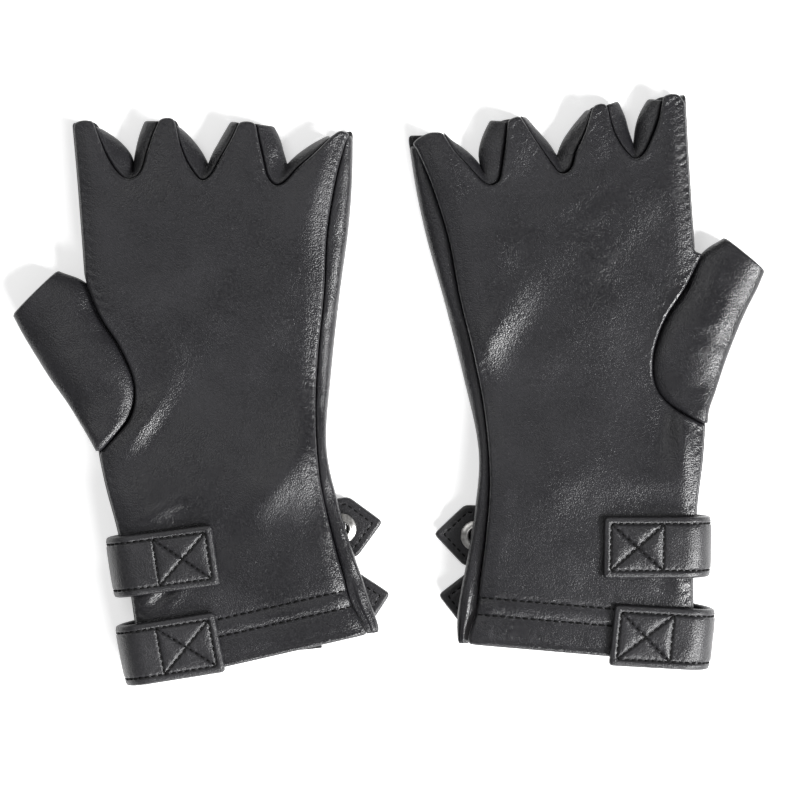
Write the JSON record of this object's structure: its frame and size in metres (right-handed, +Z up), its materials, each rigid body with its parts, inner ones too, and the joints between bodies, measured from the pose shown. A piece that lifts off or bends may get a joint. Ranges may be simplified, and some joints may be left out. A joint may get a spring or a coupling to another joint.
{
  "type": "pair of fingerless gloves",
  "caption": "Pair of black leather fingerless gloves lying palm up, with set-in thumbs, finger gussets and snap straps folded round each cuff.",
  "frame": {"origin": "on the surface that the gloves lie on, under the middle of the pair's box", "axes": "+X runs from the left glove to the right glove, +Y from the cuffs to the fingertips, +Z up out of the palms"},
  "size_m": [0.3088, 0.242, 0.0219],
  "materials": {
    "black_leather": "soft satin black imitation leather with a fine grain",
    "strap_leather": "padded, edge-stitched black imitation leather, a little glossier",
    "lining": "matt black turned hem and knitted backing",
    "label_cloth": "matt woven black tape, blank",
    "snap_metal": "nickel-plated, lightly brushed"
  },
  "bodies": {
    "left_glove": {"left_palm_panel": "black_leather", "left_back_panel": "black_leather", "left_side_gusset": "black_leather", "left_thumb_stall": "black_leather", "left_index_middle_fourchette": "black_leather", "left_middle_ring_fourchette": "black_leather", "left_ring_little_fourchette": "black_leather", "left_palm_hem": "lining", "left_back_hem": "lining", "left_cuff_label": "label_cloth", "left_lower_strap_tab": "strap_leather", "left_lower_snap_stud": "snap_metal", "left_lower_snap_post": "snap_metal", "left_upper_strap_tab": "strap_leather", "left_upper_snap_stud": "snap_metal", "left_upper_snap_post": "snap_metal"},
    "right_glove": {"right_palm_panel": "black_leather", "right_back_panel": "black_leather", "right_side_gusset": "black_leather", "right_thumb_stall": "black_leather", "right_index_middle_fourchette": "black_leather", "right_middle_ring_fourchette": "black_leather", "right_ring_little_fourchette": "black_leather", "right_palm_hem": "lining", "right_back_hem": "lining", "right_lower_strap_tab": "strap_leather", "right_lower_snap_stud": "snap_metal", "right_lower_snap_post": "snap_metal", "right_upper_strap_tab": "strap_leather", "right_upper_snap_stud": "snap_metal", "right_upper_snap_post": "snap_metal"},
    "left_lower_loop": {"left_lower_strap_loop": "strap_leather"},
    "left_lower_run": {"left_lower_strap_run": "strap_leather"},
    "left_lower_tip": {"left_lower_strap_tip": "strap_leather", "left_lower_snap_cap": "snap_metal", "left_lower_snap_socket": "snap_metal", "left_lower_snap_spring": "snap_metal"},
    "left_upper_loop": {"left_upper_strap_loop": "strap_leather"},
    "left_upper_run": {"left_upper_strap_run": "strap_leather"},
    "left_upper_tip": {"left_upper_strap_tip": "strap_leather", "left_upper_snap_cap": "snap_metal", "left_upper_snap_socket": "snap_metal", "left_upper_snap_spring": "snap_metal"},
    "right_lower_loop": {"right_lower_strap_loop": "strap_leather"},
    "right_lower_run": {"right_lower_strap_run": "strap_leather"},
    "right_lower_tip": {"right_lower_strap_tip": "strap_leather", "right_lower_snap_cap": "snap_metal", "right_lower_snap_socket": "snap_metal", "right_lower_snap_spring": "snap_metal"},
    "right_upper_loop": {"right_upper_strap_loop": "strap_leather"},
    "right_upper_run": {"right_upper_strap_run": "strap_leather"},
    "right_upper_tip": {"right_upper_strap_tip": "strap_leather", "right_upper_snap_cap": "snap_metal", "right_upper_snap_socket": "snap_metal", "right_upper_snap_spring": "snap_metal"}
  },
  "joints": [
    {"name": "right_glove_lift", "type": "slide", "parent": "left_glove", "child": "right_glove", "axis": [0, 0, 1], "range_m": [0, 0.1]},
    {"name": "left_lower_fold", "type": "hinge", "parent": "left_glove", "child": "left_lower_loop", "pos_m": [-0.1073, -0.10836, 0.01869], "axis": [-0.1891, 0.982, 0], "range_deg": [0, 90]},
    {"name": "left_lower_unfold", "type": "hinge", "parent": "left_lower_loop", "child": "left_lower_run", "pos_m": [-0.10739, -0.1079, 0.00321], "axis": [-0.1891, 0.982, 0], "range_deg": [0, 90]},
    {"name": "left_lower_peel", "type": "hinge", "parent": "left_lower_run", "child": "left_lower_tip", "pos_m": [-0.02683, -0.08975, 0.00124], "axis": [-0.1891, 0.982, 0], "range_deg": [0, 60]},
    {"name": "left_upper_fold", "type": "hinge", "parent": "left_glove", "child": "left_upper_loop", "pos_m": [-0.11164, -0.07238, 0.01869], "axis": [-0.1478, 0.989, 0], "range_deg": [0, 90]},
    {"name": "left_upper_unfold", "type": "hinge", "parent": "left_upper_loop", "child": "left_upper_run", "pos_m": [-0.11167, -0.07214, 0.00321], "axis": [-0.1478, 0.989, 0], "range_deg": [0, 90]},
    {"name": "left_upper_peel", "type": "hinge", "parent": "left_upper_run", "child": "left_upper_tip", "pos_m": [-0.03023, -0.05866, 0.00124], "axis": [-0.1478, 0.989, 0], "range_deg": [0, 60]},
    {"name": "right_lower_fold", "type": "hinge", "parent": "right_glove", "child": "right_lower_loop", "pos_m": [0.12738, -0.10179, 0.01869], "axis": [-0.1045, -0.9945, 0], "range_deg": [0, 90]},
    {"name": "right_lower_unfold", "type": "hinge", "parent": "right_lower_loop", "child": "right_lower_run", "pos_m": [0.12745, -0.10106, 0.00321], "axis": [-0.1045, -0.9945, 0], "range_deg": [0, 90]},
    {"name": "right_lower_peel", "type": "hinge", "parent": "right_lower_run", "child": "right_lower_tip", "pos_m": [0.04579, -0.08842, 0.00124], "axis": [-0.1045, -0.9945, 0], "range_deg": [0, 60]},
    {"name": "right_upper_fold", "type": "hinge", "parent": "right_glove", "child": "right_upper_loop", "pos_m": [0.12668, -0.06403, 0.01869], "axis": [-0.0192, -0.9998, 0], "range_deg": [0, 90]},
    {"name": "right_upper_unfold", "type": "hinge", "parent": "right_upper_loop", "child": "right_upper_run", "pos_m": [0.12668, -0.06371, 0.00321], "axis": [-0.0192, -0.9998, 0], "range_deg": [0, 90]},
    {"name": "right_upper_peel", "type": "hinge", "parent": "right_upper_run", "child": "right_upper_tip", "pos_m": [0.04419, -0.0604, 0.00124], "axis": [-0.0192, -0.9998, 0], "range_deg": [0, 60]}
  ],
  "couplings": [
    {"joint": "left_lower_unfold", "follows": "left_lower_fold", "ratio": 1},
    {"joint": "left_upper_unfold", "follows": "left_upper_fold", "ratio": 1},
    {"joint": "right_lower_unfold", "follows": "right_lower_fold", "ratio": 1},
    {"joint": "right_upper_unfold", "follows": "right_upper_fold", "ratio": 1}
  ]
}
